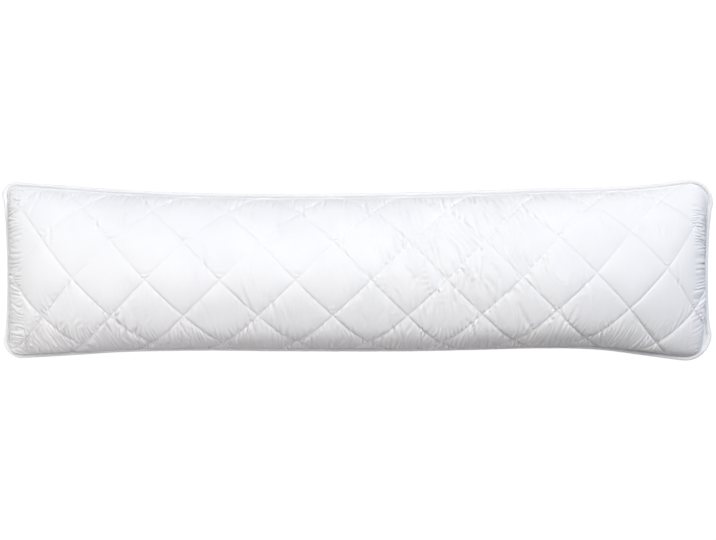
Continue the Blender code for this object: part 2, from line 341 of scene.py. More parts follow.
def simulate_puff():
    """The movement of every coarse point, as a field over each flat panel."""
    u_lines, v_lines = panel_lines(SIM_CELLS)
    mesh = bmesh.new()
    flat, start, numbers = [], [], []
    for face in (FRONT, BACK):
        verts, places = flat_grid(mesh, u_lines, v_lines)
        u, v = u_lines[places[:, 0]], v_lines[places[:, 1]]
        if face == BACK:
            bmesh.ops.reverse_faces(mesh, faces=list({f for vert in verts for f in vert.link_faces}))
        flat.append(np.stack([u * SLACK, v * SLACK, np.full(u.size, face * REST_HEIGHT)], axis=-1))
        start.append(stuffed_point(u, v, face))
        numbers.append(places)
    flat, start = np.concatenate(flat), np.concatenate(start)
    panels = add_object("puff", mesh_data("puff", mesh))
    panels.data.vertices.foreach_set("co", start.ravel())
    u, v = flat[:, 0] / SLACK, flat[:, 1] / SLACK
    held = np.minimum(nearest_stitch(u, v), edge_distance(u, v)) < 0.0001
    panels.vertex_groups.new(name="stitched").add(np.nonzero(held)[0].tolist(), 1.0, "REPLACE")
    panels.shape_key_add(name="stuffed")
    rest = panels.shape_key_add(name="cut flat")
    rest.data.foreach_set("co", flat.ravel())
    cloth_settings(panels.modifiers.new("cloth", "CLOTH"), rest)
    for number in range(1, PUFF_FRAMES + 1):
        bpy.context.scene.frame_set(number)
    blown = panels.evaluated_get(bpy.context.evaluated_depsgraph_get()).data
    place = np.zeros(start.size)
    blown.vertices.foreach_get("co", place)
    moved = place.reshape(-1, 3) - start
    bpy.data.objects.remove(panels)
    bpy.context.scene.frame_set(1)
    far = np.linalg.norm(moved, axis=-1, keepdims=True)
    moved *= np.minimum(1.0, MOST_PUFF / np.maximum(far, 1e-9))
    fields = {}
    for face, part, places in zip((FRONT, BACK), np.split(moved, 2), numbers):
        fields[face] = np.zeros((len(u_lines), len(v_lines), 3))
        fields[face][places[:, 0], places[:, 1]] = part
    print(f"puffed {far.size} points by up to {far.max() * 1000:.1f} mm, {far.mean() * 1000:.1f} on average")
    return u_lines, v_lines, fields


PUFF = simulate_puff()


# %% [markdown]
# ## Reading the puff smoothly
#
# The fine panels have several vertices for each coarse cell. Straight-line blending between coarse
# points would show as facets, so the field is read with cubic B-spline weights, which have no kinks.

# %% B-spline reading of the field
def spline_weights(a):
    return (
        (1 - a) ** 3 / 6,
        (3 * a ** 3 - 6 * a ** 2 + 4) / 6,
        (-3 * a ** 3 + 3 * a ** 2 + 3 * a + 1) / 6,
        a ** 3 / 6,
    )


def puff_at(u, v, face):
    """How far the simulated cloth has moved at each flat point."""
    if PUFF is None:
        return np.zeros(u.shape + (3,))
    u_lines, v_lines, fields = PUFF
    i = np.interp(u, u_lines, np.arange(len(u_lines)))
    j = np.interp(v, v_lines, np.arange(len(v_lines)))
    i0, j0 = np.floor(i).astype(int), np.floor(j).astype(int)
    total = np.zeros(u.shape + (3,))
    for a, along in enumerate(spline_weights(i - i0)):
        for b, across in enumerate(spline_weights(j - j0)):
            column = np.clip(i0 + a - 1, 0, len(u_lines) - 1)
            row = np.clip(j0 + b - 1, 0, len(v_lines) - 1)
            total += (along * across)[..., None] * fields[face][column, row]
    return total


# %% [markdown]
# ## Padding and stitch grooves by formula
#
# The simulation is too coarse for the last few millimetres beside a stitch, where the thread pulls the
# cloth into a sharp valley. A formula adds that part: the padding rises steeply from each line and then
# levels off, and right at the line a narrow groove is pressed in. The stuffing sags, so the quilting is
# tight on the lower side and slack on the upper one.
#
# Along the seam the stuffing rolls the cloth outward, and the seam holds it back in a crevice beside the
# piping. A broader roll runs low along the front.

# %% Padding
QUILT_HEIGHT = 0.0034  # of a diamond's middle above its stitches, besides the puff
QUILT_ALONE = 0.0060  # the same where nothing was simulated
RISES = ((0.74, 0.0021), (0.20, 0.0100))  # share of the height, and how far from a stitch it rises
EDGE_FADE = 0.012
GROOVE_DEPTH = 0.0010
GROOVE_WIDTH = 0.0015
LOW_TIGHT = 0.6  # how much deeper the quilting is on the lower side
ROW_SLACK = 0.28, 0.78  # share of its pull that each family of rows loses on the upper side
SLACK_FROM, SLACK_TO = (-0.05, 0.03), (0.09, 0.15)  # where the rows slacken, and tighten again


def quilt_lift(u, v):
    """Height of the padding: pinched to nothing along the stitches, but less so on the upper side."""
    lift = QUILT_ALONE if PUFF is None else QUILT_HEIGHT
    groove = 0.0
    upper = ease(v, *SLACK_FROM) * (1 - 0.8 * ease(v, *SLACK_TO))
    for distance, slack in zip(stitch_distances(u, v), ROW_SLACK):
        pull = 1 - slack * upper
        risen = (1 - sum(share for share, _ in RISES)) * np.sin(math.pi * distance / STITCH_SPACING)
        for share, width in RISES:
            risen += share * (1 - np.exp(-distance / width))
        lift = lift * (1 - pull * (1 - risen))
        groove = np.maximum(groove, pull * np.exp(-distance / GROOVE_WIDTH))
    tight = 1 + LOW_TIGHT * ease(-v, 0.07, 0.15)
    return tight * (lift - GROOVE_DEPTH * groove) * off_edge(u, v, EDGE_FADE) ** 2


# %% Rim
RIM_HEIGHT, RIM_REACH = 0.0045, 0.009  # of the roll beside the seam, and how far in its top is
CORNER_ROLL, CORNER_REACH = 0.0040, 0.032  # the same in the lower corners
TUCK_DEPTH, TUCK_REACH = 0.0080, 0.006  # of the crevice between the cloth and the piping
BELLY_HEIGHT = 0.0034  # of the broad roll low along the front
BELLY_MIDDLE, BELLY_WIDTH = -0.130, 0.034


def hump(distance, reach):
    """From 0 at the seam to 1 at the given reach, then slowly back."""
    return distance / reach * np.exp(1 - distance / reach)


def rim_lift(u, v):
    """The rolls along the seam, less the crevice beside the piping."""
    edge = edge_distance(u, v)
    from_end = PANEL_U - np.abs(u)
    upper = ease(v, PANEL_V - 0.10, PANEL_V - 0.03) * (1 - ease(-from_end, -0.08, -0.02))
    far_end = ease(u, PANEL_U - 0.10, PANEL_U - 0.04) * ease(v, 0.03 - PANEL_V, 0.08 - PANEL_V)
    corner = ease(np.abs(u), 0.62 * PANEL_U, 0.86 * PANEL_U) * ease(-v, 0.3 * PANEL_V, 0.8 * PANEL_V)
    corner = corner * np.where(u > 0, 1.0, 0.3)
    low_roll = RIM_HEIGHT * hump(edge, RIM_REACH) * (1 - 0.8 * np.maximum(upper, far_end)) * (1 - corner)
    corner_roll = CORNER_ROLL * hump(edge, CORNER_REACH) * corner
    high_end = far_end * ease(v, -0.04, 0.06)
    tuck = TUCK_DEPTH * hump(edge, TUCK_REACH) * (0.45 + 0.60 * corner) * (1 - 0.7 * high_end)
    belly = BELLY_HEIGHT * np.exp(-((v - BELLY_MIDDLE) / BELLY_WIDTH) ** 2)
    belly = belly * ease(u, -0.52, -0.36) * ease(-u, -0.66, -0.50)
    return low_roll + corner_roll + belly - tuck


# %% [markdown]
# ## Lumps, gathers and creases
#
# Fibre filling is never even, so broad seeded noise gives the case its lumps. The cut panel is larger
# than the seam it was sewn into, and the spare cloth gathers in narrow valleys, roughly at right angles
# to the seam. They are the sharp valleys of a wave whose spacing and depth wander with seeded noise. The
# stitches stop them, so each diamond reads the noise at a place of its own, and they are deepest just
# beside the thread. A crease brush adds the single folds that noise can't, such as pinches above the
# crossings and corner folds. Each family gives its folds as a start, an end, a width, a depth and a bend.

# %% Seeded noise
def soft_noise(x, y, seed):
    """Smooth noise from -1 to 1, about one bump for each unit."""
    table = np.random.default_rng(seed).uniform(-1.0, 1.0, (64, 64))
    i, j = np.floor(x).astype(int), np.floor(y).astype(int)
    a, b = x - i, y - j
    a, b = a * a * (3 - 2 * a), b * b * (3 - 2 * b)
    low = table[i % 64, j % 64] * (1 - a) + table[(i + 1) % 64, j % 64] * a
    high = table[i % 64, (j + 1) % 64] * (1 - a) + table[(i + 1) % 64, (j + 1) % 64] * a
    return low * (1 - b) + high * b


LUMPS = ((0.160, 0.0025), (0.070, 0.0010), (0.030, 0.0003))  # size across, height


def lumps(u, v, face):
    height = np.zeros(u.shape)
    for number, (size, depth) in enumerate(LUMPS):
        height += depth * soft_noise(u / size + 20, v / size + 20, 10 * number + face + 3)
    return height * off_edge(u, v, 0.03)


# %% The strokes of the gathers
STROKE = 0.0090  # distance from one gather to the next
STROKE_MEAN = 0.26  # average of a sharp valley, taken off so that gathers add no height


def strokes(across, along, pitch, seed):
    """Irregular parallel valleys: 1 in the deepest, and about 0 on average."""
    drift = soft_noise(across / (2.6 * pitch) + 400, along / 0.050 + 400, seed)
    turn = across / pitch + 1.2 * drift
    strength = 0.65 + 1.0 * soft_noise(turn * 0.8 + 90, along / 0.035 + 90, seed + 30)
    return ((1 - np.abs(np.sin(math.pi * turn))) ** 1.5 - STROKE_MEAN) * np.clip(strength, 0.05, 1.5)


def calm_corner(u, v):
    """Share of the gathers that is left: little in the corners at +X, which are stuffed hard."""
    return 1 - 0.80 * ease(u, PANEL_U - 0.17, PANEL_U - 0.07) * ease(np.abs(v), 0.07, 0.14)


# %% Gathers
LOW_GATHERS = 0.0054  # their depth at the lower seam
HIGH_GATHERS = 0.0042  # at the upper seam
END_GATHERS = 0.0062  # at both ends
CROWD_GATHERS = {FRONT: 0.0075, BACK: 0.0020}  # in the crowd right of the middle
CROWD_MIDDLE, CROWD_WIDTH = 0.20, 0.19  # along the panel
WOBBLE = 0.0030  # how far a gather strays from its line
NEAR_STITCH = 0.014  # where the thread still gathers the cloth
STITCH_HOLD, SEAM_HOLD = 0.0030, 0.0020  # where they hold it flat


def gathers(u, v, face):
    """All the gathers of a panel, as a height."""
    first, second = lattice(u, v)
    diamond = np.floor(first) * 7.3 + np.floor(second) * 13.7
    stitch = nearest_stitch(u, v)
    wobble = WOBBLE * soft_noise(u / 0.045 + 50, v / 0.045 + 50, 60 + face)
    s, from_end = u / PANEL_U, PANEL_U - np.abs(u)
    lean = np.where(v < 0, -0.30 * s - 0.50 * s ** 7, 0.22 + 0.30 * s ** 7)
    low_side = LOW_GATHERS * ease(-v, 0.000, 0.130) * (1.0 if face == FRONT else 0.8)
    low_side = low_side * (1 + 0.7 * ease(-u, 0.40, 0.60))
    high_side = HIGH_GATHERS * ease(v, 0.060, 0.180) * (0.6 + 0.4 * ease(u, -0.3, 0.2))
    upright = strokes(u + lean * v + wobble, v + diamond, STROKE, 61 + face)
    middle = strokes(u + 0.34 * v + wobble, v + 2 * diamond, 1.5 * STROKE, 63 + face)
    crowd = np.exp(-((u - CROWD_MIDDLE) / CROWD_WIDTH) ** 2) * ease(v, -0.11, -0.02) * ease(-v, -0.21, -0.16)
    ends = strokes(v - 0.5 * v / PANEL_V * from_end + wobble * 0.6, from_end + diamond, STROKE, 65 + face)
    low_left = ease(-u, 0.86 * PANEL_U, 0.94 * PANEL_U) * ease(-v, 0.04, 0.12)
    end_side = END_GATHERS * ease(-from_end, -0.080, -0.032) * (1 + 0.6 * low_left)
    upright_side = (low_side + high_side) * ease(from_end, 0.02, 0.07)
    near_stitch = np.exp(-stitch / NEAR_STITCH)
    held = (1 - np.exp(-(stitch / STITCH_HOLD) ** 2)) * off_edge(u, v, SEAM_HOLD)
    total = upright * upright_side * (0.4 + near_stitch) + ends * end_side * (0.7 + 0.4 * near_stitch)
    total += middle * (0.0003 + CROWD_GATHERS[face] * crowd)
    return -total * held * calm_corner(u, v)


# %% The crease brush
def crease(u, v, height, start, end, width, depth, bend):
    """Press one crease into height: a trough with soft shoulders, from start to end on the flat cloth."""
    start, end = np.array(start), np.array(end)
    length = float(np.hypot(*(end - start)))
    ahead = (end - start) / length
    reach = 3.2 * width + abs(bend)
    low, high = np.minimum(start, end) - reach, np.maximum(start, end) + reach
    near = np.nonzero((u > low[0]) & (u < high[0]) & (v > low[1]) & (v < high[1]))[0]
    du, dv = u[near] - start[0], v[near] - start[1]
    s = np.clip((du * ahead[0] + dv * ahead[1]) / length, 0.0, 1.0)
    off = dv * ahead[0] - du * ahead[1] - bend * 4 * s * (1 - s)
    past = du * ahead[0] + dv * ahead[1] - s * length
    across = np.hypot(off, past) / width
    profile = np.exp(-across ** 2) - 0.55 * np.exp(-((across - 1.7) / 0.9) ** 2)
    height[near] -= depth * np.sin(math.pi * s) ** 1.2 * profile


# %% Single folds
def spaced(rng, place, last, least, most):
    """Places up to the last one, each an uneven step on."""
    while place < last:
        yield place
        place += rng.uniform(least, most)


def seam_folds(rng):
    """Longer folds that run in from both long seams."""
    for side in (-1, 1):
        for place in spaced(rng, -PANEL_U + 0.05, PANEL_U - 0.05, 0.012, 0.034):
            reach = rng.uniform(0.035, 0.095)
            lean = 0.25 * place / PANEL_U * side + rng.normal(0.0, 0.10)
            start = (place, side * (PANEL_V - rng.uniform(0.002, 0.030)))
            end = (place + lean * reach, start[1] - side * reach)
            width, depth = rng.uniform(0.0022, 0.0036), rng.uniform(0.0012, 0.0028)
            yield start, end, width, depth, rng.normal(0.0, 0.002)


def end_folds(rng):
    for end in (-1, 1):
        for place in spaced(rng, -PANEL_V + 0.015, PANEL_V - 0.015, 0.008, 0.022):
            reach = rng.uniform(0.020, 0.055)
            start = (end * (PANEL_U - rng.uniform(0.002, 0.012)), place)
            tip = (start[0] - end * reach, place - 0.2 * place / PANEL_V * reach + rng.normal(0.0, 0.003))
            width, depth = rng.uniform(0.0018, 0.0028), rng.uniform(0.0010, 0.0022)
            yield start, tip, width, depth, rng.normal(0.0, 0.0015)


def soft_creases(rng):
    """Long shallow creases, leaning like a backslash, most of them right of the middle."""
    for _ in range(240):
        u = rng.uniform(-PANEL_U + 0.08, PANEL_U - 0.06)
        v = rng.uniform(-0.6, 0.85) * PANEL_V
        crowd = 0.2 + 0.8 * math.exp(-((u - 0.21) / 0.17) ** 2)
        if rng.random() > crowd:
            continue
        reach = rng.uniform(0.030, 0.085)
        lean = rng.uniform(0.10, 0.42)
        du, dv = lean * reach / 2, reach / 2
        width, depth = rng.uniform(0.0026, 0.0042), rng.uniform(0.0018, 0.0034)
        yield (u - du, v + dv), (u + du, v - dv), width, depth, rng.normal(0.0, 0.004)


def pinches(rng):
    """Two to four short level creases stacked just above some crossings."""
    for u, v in crossings(10, 2):
        if rng.random() > 0.5 or abs(u) > PANEL_U - 0.05 or abs(v) > PANEL_V - 0.04:
            continue
        for step in range(rng.integers(2, 5)):
            half = rng.uniform(0.007, 0.012)
            level = v + 0.007 + 0.0055 * step
            side = rng.normal(0.0, 0.002)
            yield (u + side - half, level), (u + side + half, level), 0.0016, 0.0021, -0.0015


def corner_folds(rng):
    """Folds across the diagonal of each corner, closer together towards the tip."""
    for end, side in itertools.product((-1, 1), (-1, 1)):
        for away in spaced(rng, 0.030, 0.120, 0.006, 0.014):
            half = rng.uniform(0.010, 0.024)
            u, v = end * (PANEL_U - away * 0.75), side * (PANEL_V - away * 0.65)
            turn = rng.normal(0.0, 0.15)
            du, dv = half * math.cos(0.75 + turn), half * math.sin(0.75 + turn)
            start, tip = (u - du, v + dv * end * side), (u + du, v - dv * end * side)
            yield start, tip, rng.uniform(0.0022, 0.0032), rng.uniform(0.0008, 0.0018), 0.004 * end


# %% All the folds
FOLD_FAMILIES = (seam_folds, end_folds, soft_creases, pinches, corner_folds)
FOLDS = {FRONT: [], BACK: []}
for face, number in itertools.product((FRONT, BACK), range(len(FOLD_FAMILIES))):
    FOLDS[face] += FOLD_FAMILIES[number](np.random.default_rng(20 + number + 50 * (face == BACK)))
print("single folds, front and back:", len(FOLDS[FRONT]), len(FOLDS[BACK]))


def folds(u, v, face):
    """All single folds of a panel, as a height."""
    height = np.zeros(u.shape)
    for fold in FOLDS[face]:
        crease(u, v, height, *fold)
    return height * calm_corner(u, v) * off_edge(u, v, 0.0015)


# %% [markdown]
# ## A fine panel
#
# One function gives the finished place of any flat point, so the panels and the thread in them are read
# from the same cloth. No crease may sink so far that front and back would cross beside the seam. What
# would sink into the floor is flattened onto it with a short rounded edge.

# %% The finished surface
MOST_SUNK = 0.6  # of the height between the cloth and the seam's level


def rest_on_floor(z):
    rounded = (z + FLOOR_BLEND) ** 2 / (4 * FLOOR_BLEND)
    return np.where(z > FLOOR_BLEND, z, np.where(z < -FLOOR_BLEND, 0.0, rounded))


def cloth_point(u, v, face):
    """Finished places of flat points."""
    lift = quilt_lift(u, v) + rim_lift(u, v) + lumps(u, v, face) + gathers(u, v, face) + folds(u, v, face)
    point = stuffed_point(u, v, face)
    room = np.abs(point[..., 2] - seam_height(point[..., 0]))
    point += stuffed_normal(u, v, face) * np.maximum(lift, -MOST_SUNK * room)[..., None]
    point += puff_at(u, v, face) * off_edge(u, v, 0.003)[..., None]
    point[..., 2] = rest_on_floor(point[..., 2])
    return point + SHIFT


# %% [markdown]
# ## Meshing a panel
#
# A panel starts as one flat grid whose lines sit on the quilting lattice, so every stitch line runs
# through cell corners. Even cells fine enough for the gathers would take too many triangles, so the
# grid is subdivided only where the detail is: both ways near the stitches, and along the seam beside it.
# Cells near a stitch are then divided along it, which keeps the groove straight.

# %% Refine the grid where the detail is
CELLS = {FRONT: 20, BACK: 16}  # cells in half a diamond
STITCH_BAND = 0.0045
SIDE_BAND = {(FRONT, -1): 0.105, (FRONT, 1): 0.055, (BACK, -1): 0.040, (BACK, 1): 0.040}
END_BAND = 0.060
FINE_EDGE = 0.0026  # edges shorter than this aren't divided again
FINE_END_EDGE = 0.0016


def divide(mesh, edges):
    bmesh.ops.subdivide_edges(mesh, edges=edges, cuts=1, use_grid_fill=True)


def divide_at_stitches(mesh):
    faces = list(mesh.faces)
    centre = np.array([face.calc_center_median()[:2] for face in faces])
    near = nearest_stitch(*centre.T) < STITCH_BAND
    divide(mesh, list({edge for face, hit in zip(faces, near) if hit for edge in face.edges}))


def divide_along(mesh, axis, shortest, is_near):
    """Halve the longer edges that run along one axis, wherever is_near says so of their middles."""
    edges = list(mesh.edges)
    ends = np.array([[vert.co[:2] for vert in edge.verts] for edge in edges])
    run = np.abs(ends[:, 1] - ends[:, 0])
    hits = (run[:, axis] > shortest) & (run[:, 1 - axis] < 1e-6) & is_near(*ends.mean(axis=1).T)
    divide(mesh, [edge for edge, hit in zip(edges, hits) if hit])


def near_sides(face):
    low, high = SIDE_BAND[face, -1] - PANEL_V, PANEL_V - SIDE_BAND[face, 1]
    return lambda u, v: (v < low) | (v > high)


def near_ends(u, v):
    return np.abs(u) > PANEL_U - END_BAND


# %% Divide cells along the stitches
def divide_cells(mesh):
    """Leave only quads and triangles, and split each quad beside a stitch along it."""
    bmesh.ops.triangulate(mesh, faces=[face for face in mesh.faces if len(face.verts) > 4])
    quads = [face for face in mesh.faces if len(face.verts) == 4]
    centre = np.array([face.calc_center_median()[:2] for face in quads])
    falling, rising = (np.abs(line - np.round(line)) for line in lattice(*centre.T))
    near = np.minimum(falling, rising) * STITCH_SPACING < 2 * STITCH_BAND
    for face, hit, uphill in zip(quads, near, rising < falling):
        if not hit:
            continue
        a, b, c, d = face.verts
        across = c.co - a.co
        pair = (a, c) if (across.x * across.y > 0) == uphill else (b, d)
        bmesh.utils.face_split(face, *pair)


# %% Seam allowance, and the whole panel
ALLOWANCE = 0.006  # cloth turned in behind the seam


def turn_in_allowance(mesh):
    """Extrude the cut edge; the new vertices are moved inside the pillow once the panel is shaped."""
    rim = [edge for edge in mesh.edges if edge.is_boundary]
    new = bmesh.ops.extrude_edge_only(mesh, edges=rim)["geom"]
    return [item for item in new if isinstance(item, bmesh.types.BMVert)]


def panel_mesh(face):
    """A finished panel as mesh data."""
    mesh = bmesh.new()
    flat_grid(mesh, *panel_lines(CELLS[face]))
    divide_at_stitches(mesh)
    divide_along(mesh, 0, FINE_EDGE, near_sides(face))
    divide_along(mesh, 1, FINE_EDGE, near_ends)
    if face == FRONT:
        divide_along(mesh, 1, FINE_END_EDGE, near_ends)
    divide_cells(mesh)
    allowance = turn_in_allowance(mesh)
    mesh.verts.index_update()
    flat = np.array([vert.co[:2] for vert in mesh.verts])
    place = cloth_point(*flat.T, face)
    inward = np.array([vert.index for vert in allowance])
    seam = place[inward]
    at_edge = np.abs(flat[inward]) > np.array([PANEL_U, PANEL_V]) - 1e-6
    toward = np.column_stack([-np.sign(seam[:, :2]) * at_edge, np.full(len(inward), 0.05 * face)])
    place[inward] = seam + unit(toward) * ALLOWANCE
    shape(mesh, "flat_cloth", flat / (PANEL_U, PANEL_V) / 2 + 0.5, place)
    if face == BACK:
        bmesh.ops.reverse_faces(mesh, faces=mesh.faces)
    data = mesh_data("panel", mesh)
    data.shade_smooth()
    return data


# %% [markdown]
# ## Sewing the case
#
# Front and back are separate pieces of cloth, as cut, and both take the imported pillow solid's place.
# They meet exactly on the seam, under the piping.

# %% Front and back panels
def triangles(piece):
    return sum(len(face.vertices) - 2 for face in piece.data.polygons)


panels = {}
for face, name in ((FRONT, "front_panel"), (BACK, "back_panel")):
    panels[face] = add_object(name, panel_mesh(face))
    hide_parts("pillow")
    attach(panels[face], BODY)
    print(name, triangles(panels[face]), "triangles")

# %% [markdown]
# ## Quilting thread
#
# The stitches are short thick dashes of thread, sunk in the grooves. One bead with a few faces is
# copied along every line, turned to follow the cloth, and all are joined into one mesh for each panel.

# %% One stitch, and where the stitches go
STITCH_PITCH = 0.0044
STITCH_LENGTH = 0.0036
THREAD = 0.0009  # its thickness
STITCH_SINK = 0.1  # share of the thread that is below the cloth


def stitch_template():
    mesh = bmesh.new()
    bmesh.ops.create_uvsphere(mesh, u_segments=6, v_segments=4, radius=0.5)
    return mesh_data("stitch", mesh)


def stitch_places():
    """Flat start and end of every stitch of one panel."""
    run = math.hypot(PITCH_U, PITCH_V)
    count = int(run / STITCH_PITCH)
    share = (np.arange(count) + 0.5) / count
    half = STITCH_LENGTH / run / 2
    starts, ends = [], []
    for slope, (u, v) in itertools.product((1, -1), crossings(12, 4)):
        for k, places in ((share - half, starts), (share + half, ends)):
            places.append(np.stack([u + k * PITCH_U, v + slope * k * PITCH_V], axis=-1))
    starts, ends = np.concatenate(starts), np.concatenate(ends)
    inside = (edge_distance(*starts.T) > 0.003) & (edge_distance(*ends.T) > 0.003)
    return starts[inside], ends[inside]


# %% Sew the thread
def sew_thread(face):
    """One mesh with a copy of the bead for every stitch of a panel, and how many there are."""
    starts, ends = stitch_places()
    low, high = cloth_point(*starts.T, face), cloth_point(*ends.T, face)
    out = stuffed_normal(*((starts + ends) / 2).T, face)
    along = high - low
    across = unit(np.cross(out, along)) * THREAD
    up = unit(np.cross(along, across)) * THREAD
    middle = (low + high) / 2 + out * THREAD * (0.5 - STITCH_SINK)
    template = stitch_template()
    bead = np.array([vert.co for vert in template.vertices])
    axes = np.stack([across, up, along], axis=1)
    places = np.einsum("bk,skc->sbc", bead, axes) + middle[:, None]
    places[..., 2] -= np.minimum(places[..., 2].min(axis=1), 0.0)[:, None]
    sides = [[corner + len(bead) * number for corner in side.vertices]
             for number in range(len(low)) for side in template.polygons]
    data = bpy.data.meshes.new("thread")
    data.from_pydata(places.reshape(-1, 3).tolist(), [], sides)
    bpy.data.meshes.remove(template)
    data.shade_smooth()
    return data, len(low)


threads = {}
for face, name in ((FRONT, "front_thread"), (BACK, "back_thread")):
    data, stitch_count = sew_thread(face)
    threads[face] = add_object(name, data)
    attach(threads[face], BODY)
    print(name, stitch_count, "stitches,", triangles(threads[face]), "triangles")

# %% [markdown]
# ## Piping
#
# Piping is a cord in a folded strip of the same cotton, whose flat tail is caught in the seam. Its
# section is a circle drawn out to a point on the seam's side. A grid is rolled up along the seam, with
# one row of cells for each side of the section, and welded where its edges meet. The strip is never quite
# even: it puckers in small slanting ripples and wanders a little.

# %% The seam as one closed line
PIPING_STEP = 0.0024
PIPING_SIDES = 24
TAIL = 0.0016  # how far the tail reaches into the seam


def seam_loop():
    """Evenly spaced points round the seam, anticlockwise from above."""
    fine = np.linspace(-PANEL_U, PANEL_U, 6001)
    ends = np.linspace(-PANEL_V, PANEL_V, 801)[1:-1]
    corner = np.sin(np.linspace(-math.pi / 2, math.pi / 2, 6001)) * PANEL_U
    run = np.sort(np.concatenate([fine, corner]))
    sides = ((run, -PANEL_V), (PANEL_U, ends), (run[::-1], PANEL_V), (-PANEL_U, ends[::-1]))
    flat = np.concatenate([np.broadcast_arrays(u, v) for u, v in sides], axis=1)
    loop = stuffed_point(*flat, FRONT)
    closed = np.concatenate([loop, loop[:1]])
    travelled = np.concatenate([[0.0], np.cumsum(np.linalg.norm(np.diff(closed, axis=0), axis=-1))])
    count = round(travelled[-1] / PIPING_STEP)
    at = np.arange(count) / count * travelled[-1]
    return np.stack([np.interp(at, travelled, closed[:, k]) for k in range(3)], axis=-1), travelled[-1]


def smoothed(values, times):
    """Average each row of a closed loop with its neighbours, several times."""
    for _ in range(times):
        values = (np.roll(values, 1, axis=0) + 2 * values + np.roll(values, -1, axis=0)) / 4
    return values


# %% Roll the strip round the cord
def ripple(at, angle):
    """Puckers of the strip, as a share of its radius."""
    slant = at + 0.0012 * np.sin(angle) * 4
    small = soft_noise(slant / 0.0034 + 7, angle * 0.9 + 30, 41)
    broad = soft_noise(at / 0.030 + 3, np.full(at.shape, 0.5), 42)
    return 0.050 * small * (0.6 + 0.4 * broad) + 0.035 * broad


def piping_data():
    """The strip round its cord as mesh data, and the length of the seam."""
    seam, length = seam_loop()
    ahead = unit(smoothed(np.roll(seam, -1, axis=0) - np.roll(seam, 1, axis=0), 4))
    outward = unit(np.stack([ahead[:, 1], -ahead[:, 0], np.zeros(len(seam))], axis=-1))
    upward = unit(np.cross(outward, ahead))
    upward *= np.sign(upward[:, 2:3])
    count = len(seam)
    mesh = bmesh.new()
    bmesh.ops.create_grid(mesh, x_segments=count, y_segments=PIPING_SIDES, size=1.0)
    spot = np.array([vert.co[:2] for vert in mesh.verts])
    along = np.round((spot[:, 0] + 1) / 2 * count).astype(int)
    angle = (spot[:, 1] + 1) * math.pi
    k = along % count
    at = k / count * length
    radius = PIPING_DIAMETER / 2 * (1 + ripple(at, np.where(angle > 2 * math.pi - 1e-6, 0.0, angle)))
    tail = np.clip((-np.cos(angle) - 0.80) / 0.20, 0.0, 1.0) ** 2
    reach_in = (PIPING_GAP + TAIL) * tail
    wander = 0.0004 * soft_noise(at / 0.05 + 11, np.full(at.shape, 0.5), 43)
    centre = seam[k] + outward[k] * (PIPING_DIAMETER / 2 + PIPING_GAP / 2)
    place = centre + outward[k] * (radius * np.cos(angle) - reach_in)[:, None]
    place += upward[k] * (radius * np.sin(angle) * (1 - 0.75 * tail) + wander)[:, None]
    shape(mesh, "strip", np.stack([along / count, angle / 2 / math.pi], axis=-1), place + SHIFT)
    bmesh.ops.remove_doubles(mesh, verts=mesh.verts, dist=0.00001)
    bmesh.ops.recalc_face_normals(mesh, faces=mesh.faces)
    data = mesh_data("piping_cord", mesh)
    data.shade_smooth()
    return data, length


data, seam_length = piping_data()
piping_cord = add_object("piping_cord", data)
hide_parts("piping")
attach(piping_cord, BODY)
print(f"piping_cord {triangles(piping_cord)} triangles round {seam_length:.3f} m of seam")

# %% [markdown]
# ## Writing materials as sums
#
# Node trees get long when every Math node is placed by hand. A small class wraps a node's output so that
# Python's operators add the Math nodes, and one method adds any other node: its settings are given
# first, then the values or links of its sockets.

# %% Nodes, a finish and its signals
class Nodes:
    """A node tree whose nodes are added one call at a time."""

    def __init__(self, tree):
        self.tree = tree

    def set(self, node, values):
        for socket, value in values.items():
            if isinstance(value, Signal):
                self.tree.links.new(value.socket, node.inputs[socket])
            else:
                node.inputs[socket].default_value = value

    def add(self, kind, settings=None, values=None, out=0):
        node = self.tree.nodes.new(kind)
        for name, value in (settings or {}).items():
            setattr(node, name, value)
        self.set(node, values or {})
        return Signal(self, node.outputs[out])


class Finish(Nodes):
    """A material, its nodes and its main shader."""

    def __init__(self, name, base, roughness, sheen):
        self.material = bpy.data.materials.new(name)
        self.material.use_nodes = True
        super().__init__(self.material.node_tree)
        self.shader = self.tree.nodes["Principled BSDF"]
        self.set(self.shader, {
            "Base Color": (*base, 1.0), "Roughness": roughness, "Sheen Weight": sheen,
            "Specular IOR Level": 0.3})


class Signal:
    """A node's output that takes part in sums."""

    def __init__(self, nodes, socket):
        self.nodes, self.socket = nodes, socket

    def maths(self, operation, first, second=0.0):
        return self.nodes.add("ShaderNodeMath", {"operation": operation}, {0: first, 1: second})

    def __add__(self, other):
        return self.maths("ADD", self, other)

    def __radd__(self, other):
        return self.maths("ADD", other, self)

    def __mul__(self, other):
        return self.maths("MULTIPLY", self, other)

    def __rmul__(self, other):
        return self.maths("MULTIPLY", other, self)

    def __pow__(self, other):
        return self.maths("POWER", self, other)

    def __rpow__(self, other):
        return self.maths("POWER", other, self)

    def wave(self):
        return self.maths("SINE", self)

    def size(self):
        return self.maths("ABSOLUTE", self)

    def positive(self):
        return self.maths("MAXIMUM", self)

    def axis(self, number):
        return Signal(self.nodes, self.socket.node.outputs[number])


# %% [markdown]
# ## Cotton
#
# The case is plain-woven cotton with a faint lustre. In a plain weave the threads of one set pass over
# and under the other, like a chessboard of tiny pillows, which two crossed waves give well. Slubs, the
# thicker places of a thread, are noise drawn out along it. The cloth is white with a breath of blue, and
# just uneven enough not to look like paint.

# %% Woven cotton
THREAD_PITCH = 0.0006  # between neighbouring threads
SLUBS = ((25.0, 900.0, 1.0), (900.0, 25.0, 1.0))  # to a metre, drawn out along either thread
COTTON_WHITE = (0.870, 0.872, 0.881)
PIPING_WHITE = (0.885, 0.885, 0.890)
SHEEN = 0.10
WEAVE_DEPTH = 0.00012


